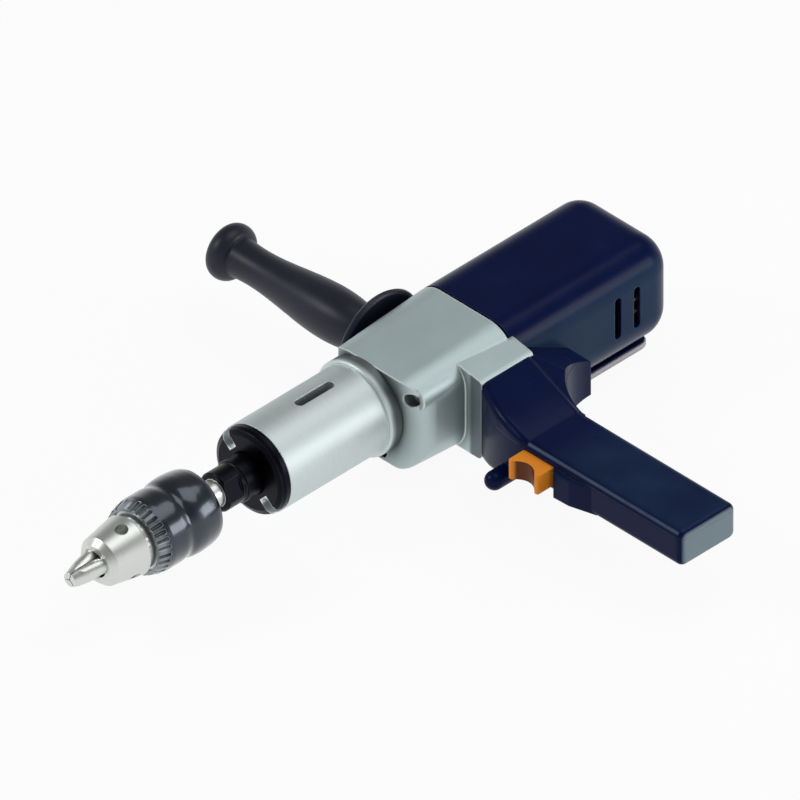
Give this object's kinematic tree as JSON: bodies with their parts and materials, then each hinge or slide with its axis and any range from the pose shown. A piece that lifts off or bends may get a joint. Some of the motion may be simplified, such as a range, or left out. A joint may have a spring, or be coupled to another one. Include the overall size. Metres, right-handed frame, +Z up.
{
  "type": "power drill",
  "caption": "Heavy two-handed power drill with a keyed jaw chuck on a taper spindle, a slotted clamping neck, a side-mounted trigger grip and an opposite side handle.",
  "frame": {"origin": "on the spindle axis, at the front edge of the aluminium clamping neck", "axes": "+Y along the spindle from the chuck to the motor, +X towards the trigger grip, +Z up"},
  "size_m": [0.3954, 0.446, 0.079],
  "materials": {
    "cast_aluminium": "satin",
    "turned_aluminium": "satin",
    "navy_plastic": "satin",
    "black_plastic": "satin",
    "orange_plastic": "satin",
    "black_steel": "satin",
    "sleeve_steel": "satin",
    "bright_steel": "bright",
    "gear_steel": "ground",
    "bearing_steel": "polished",
    "bronze": "plain",
    "copper": "enamelled",
    "core_steel": "laminated",
    "carbon": "matte"
  },
  "bodies": {
    "housing": {"neck_sleeve": "turned_aluminium", "front_ring": "black_steel", "front_bearing": "bearing_steel", "rear_bearing": "bearing_steel", "spindle_tail_bush": "bronze", "layshaft_front_bush": "bronze", "layshaft_rear_bush": "bronze", "armature_front_bearing": "bearing_steel", "armature_rear_bearing": "bearing_steel", "gear_housing": "cast_aluminium", "corner_screws": "bright_steel", "gear_plate": "cast_aluminium", "bearing_plate": "cast_aluminium", "motor_housing": "navy_plastic", "stator": "core_steel", "field_coils": "copper", "brush_holders": "bronze", "carbon_brushes": "carbon", "handle_shell": "navy_plastic", "handle_cover": "navy_plastic", "handle_screws": "bright_steel", "switch_body": "black_plastic", "side_handle": "black_plastic", "side_handle_stud": "bright_steel"},
    "spindle": {"spindle": "black_steel", "spindle_gear": "gear_steel", "chuck_arbor": "bright_steel", "chuck_body": "bright_steel"},
    "sleeve": {"chuck_sleeve": "sleeve_steel", "chuck_nut": "gear_steel"},
    "jaw_1": {"jaw_1": "bright_steel"},
    "jaw_2": {"jaw_2": "bright_steel"},
    "jaw_3": {"jaw_3": "bright_steel"},
    "layshaft": {"layshaft": "gear_steel", "layshaft_gear": "gear_steel"},
    "armature": {"armature_shaft": "gear_steel", "armature_core": "core_steel", "armature_windings": "copper", "commutator": "copper", "fan": "black_plastic"},
    "trigger": {"trigger": "orange_plastic"}
  },
  "joints": [
    {"name": "spindle_spin", "type": "hinge", "parent": "housing", "child": "spindle", "pos_m": [0, 0, 0], "axis": [0, 1, 0], "continuous": true},
    {"name": "layshaft_spin", "type": "hinge", "parent": "housing", "child": "layshaft", "pos_m": [0.027, 0, 0], "axis": [0, 1, 0], "continuous": true},
    {"name": "armature_spin", "type": "hinge", "parent": "housing", "child": "armature", "pos_m": [0.008, 0, 0], "axis": [0, 1, 0], "continuous": true},
    {"name": "sleeve_turn", "type": "hinge", "parent": "spindle", "child": "sleeve", "pos_m": [0, 0, 0], "axis": [0, -1, 0], "range_deg": [0, 6470]},
    {"name": "trigger_pull", "type": "slide", "parent": "housing", "child": "trigger", "axis": [0, 1, 0], "range_m": [0, 0.006], "stiffness_N_per_m": 900, "springref_m": -0.004},
    {"name": "jaw_1_slide", "type": "slide", "parent": "spindle", "child": "jaw_1", "axis": [0.1873, 0.9799, 0.0682], "range_m": [0, 0.036]},
    {"name": "jaw_2_slide", "type": "slide", "parent": "spindle", "child": "jaw_2", "axis": [-0.1527, 0.9799, 0.1282], "range_m": [0, 0.036]},
    {"name": "jaw_3_slide", "type": "slide", "parent": "spindle", "child": "jaw_3", "axis": [-0.0346, 0.9799, -0.1963], "range_m": [0, 0.036]}
  ],
  "couplings": [
    {"joint": "layshaft_spin", "follows": "spindle_spin", "ratio": -3.9091},
    {"joint": "armature_spin", "follows": "spindle_spin", "ratio": 14.659},
    {"joint": "jaw_1_slide", "follows": "sleeve_turn", "m_per_rad": 0.00031831},
    {"joint": "jaw_2_slide", "follows": "sleeve_turn", "m_per_rad": 0.00031831},
    {"joint": "jaw_3_slide", "follows": "sleeve_turn", "m_per_rad": 0.00031831}
  ]
}
